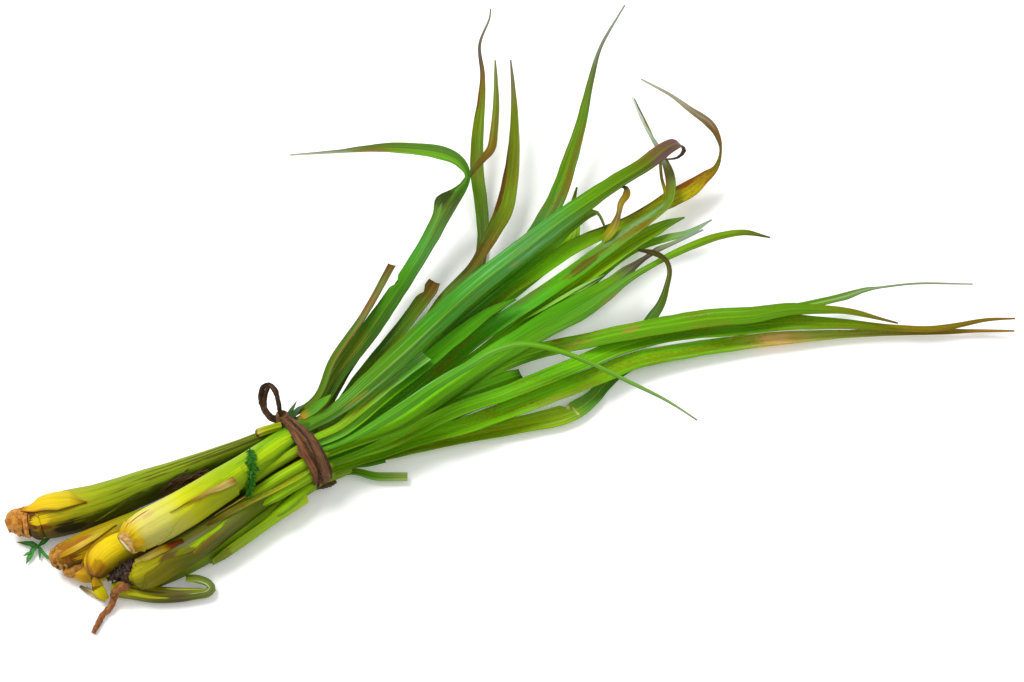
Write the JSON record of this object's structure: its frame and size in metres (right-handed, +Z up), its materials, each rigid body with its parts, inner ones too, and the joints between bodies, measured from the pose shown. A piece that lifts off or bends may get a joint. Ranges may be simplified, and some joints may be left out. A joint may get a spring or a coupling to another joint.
{
  "type": "tied lemongrass bunch",
  "caption": "Tied bunch of lemongrass lying on its side, with pale bulbs at one end and long narrow leaves fanning out at the other; a cut culinary herb.",
  "frame": {"origin": "on the resting surface under the middle of the tie, at the centre of the tie's flat foot", "axes": "+X along the bunch from the bulbs to the leaf tips, +Z up; the bow of the tie stands on the +Y side"},
  "size_m": [0.4967, 0.3357, 0.0428],
  "materials": {
    "stalk_pale": "satin",
    "stalk_green": "satin",
    "leaf_bluish_green": "satin",
    "leaf_green": "satin",
    "leaf_yellow_green": "satin",
    "sheath": "matte",
    "sprig": "matte",
    "tie_fibre": "matte"
  },
  "bodies": {
    "root": {"stalk_1": "stalk_pale", "stalk_2": "stalk_pale", "stalk_3": "stalk_pale", "stalk_4": "stalk_pale", "stalk_5": "stalk_green", "stalk_6": "stalk_green", "shoot_a": "stalk_green", "shoot_b": "stalk_green", "shoot_c": "stalk_green", "shoot_d": "stalk_green", "leaf_01": "leaf_green", "leaf_02": "leaf_bluish_green", "leaf_03": "leaf_bluish_green", "leaf_04": "leaf_bluish_green", "leaf_05": "leaf_bluish_green", "leaf_06": "leaf_green", "leaf_07": "leaf_bluish_green", "leaf_08": "leaf_bluish_green", "leaf_09": "leaf_green", "leaf_10": "leaf_bluish_green", "leaf_11": "leaf_yellow_green", "leaf_12": "leaf_bluish_green", "leaf_13": "leaf_bluish_green", "leaf_14": "leaf_yellow_green", "leaf_15": "leaf_yellow_green", "leaf_16": "leaf_bluish_green", "leaf_17": "leaf_yellow_green", "leaf_18": "leaf_green", "leaf_19": "leaf_green", "leaf_20": "leaf_yellow_green", "leaf_21": "leaf_green", "leaf_22": "leaf_green", "leaf_23": "leaf_yellow_green", "leaf_24": "leaf_yellow_green", "leaf_25": "leaf_yellow_green", "leaf_26": "leaf_green", "leaf_27": "leaf_green", "cut_sheath": "sheath", "bent_sheath": "sheath", "dry_scrap": "sheath", "sprig_by_bulbs": "sprig", "sprig_by_tie": "sprig", "tie": "tie_fibre"}
  },
  "joints": []
}
